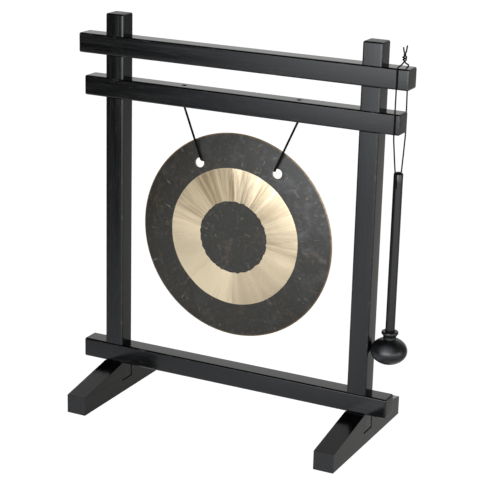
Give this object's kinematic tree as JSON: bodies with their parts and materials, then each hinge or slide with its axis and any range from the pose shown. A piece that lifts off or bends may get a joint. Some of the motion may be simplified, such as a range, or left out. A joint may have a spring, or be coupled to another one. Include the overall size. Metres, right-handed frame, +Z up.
{
  "type": "tam tam gong",
  "caption": "Table-top tam tam: a dished bronze gong hung on a cord in a black timber stand, with a rubber-headed mallet hung on a loop.",
  "frame": {"origin": "on the floor, at the middle of the object's whole width and of the feet's length", "axes": "+Z up, +X along the bars towards the mallet, -Y towards the player who faces the gong's bulging side"},
  "size_m": [0.4334, 0.2, 0.4785],
  "materials": {
    "stand_wood": "satin black stain with the grain showing",
    "pads": "matt",
    "screws": "black",
    "gong_bronze": "dark patina with a bare, lathe-scraped ring",
    "gong_cord": "black braid",
    "mallet_cord": "thin dark brown cord",
    "mallet_wood": "satin black",
    "mallet_rubber": "moulded, soft sheen"
  },
  "bodies": {
    "stand": {"post_left": "stand_wood", "post_right": "stand_wood", "upper_bar": "stand_wood", "lower_bar": "stand_wood", "bottom_bar": "stand_wood", "foot_left": "stand_wood", "foot_right": "stand_wood", "foot_pads": "pads", "lap_screws": "screws", "foot_screws": "screws", "gong_cord_knots": "gong_cord"},
    "gong_hanger": {"gong_cord_strands": "gong_cord"},
    "gong_disc": {"gong": "gong_bronze", "gong_cord_back": "gong_cord"},
    "mallet_loop": {"mallet_cord_loop": "mallet_cord", "mallet_cord_knot": "mallet_cord"},
    "mallet_strands": {"mallet_cord_strands": "mallet_cord"},
    "mallet": {"mallet_handle": "mallet_wood", "mallet_head": "mallet_rubber", "mallet_cord_eye": "mallet_cord"}
  },
  "joints": [
    {"name": "gong_swing", "type": "hinge", "parent": "stand", "child": "gong_hanger", "pos_m": [-0.008, 0, 0.377], "axis": [1, 0, 0], "range_deg": [-30, 30]},
    {"name": "gong_tilt", "type": "hinge", "parent": "gong_hanger", "child": "gong_disc", "pos_m": [-0.008, -0.0006, 0.315], "axis": [1, 0, 0], "range_deg": [-25, 8]},
    {"name": "mallet_slide", "type": "slide", "parent": "stand", "child": "mallet_loop", "axis": [1, 0, 0], "range_m": [0, 0.008]},
    {"name": "mallet_swing", "type": "hinge", "parent": "mallet_loop", "child": "mallet_strands", "pos_m": [0.19545, 0, 0.428], "axis": [0, -1, 0], "range_deg": [0, 40]},
    {"name": "mallet_tilt", "type": "hinge", "parent": "mallet_strands", "child": "mallet", "pos_m": [0.19545, 0, 0.317], "axis": [0, -1, 0], "range_deg": [0, 40]}
  ]
}
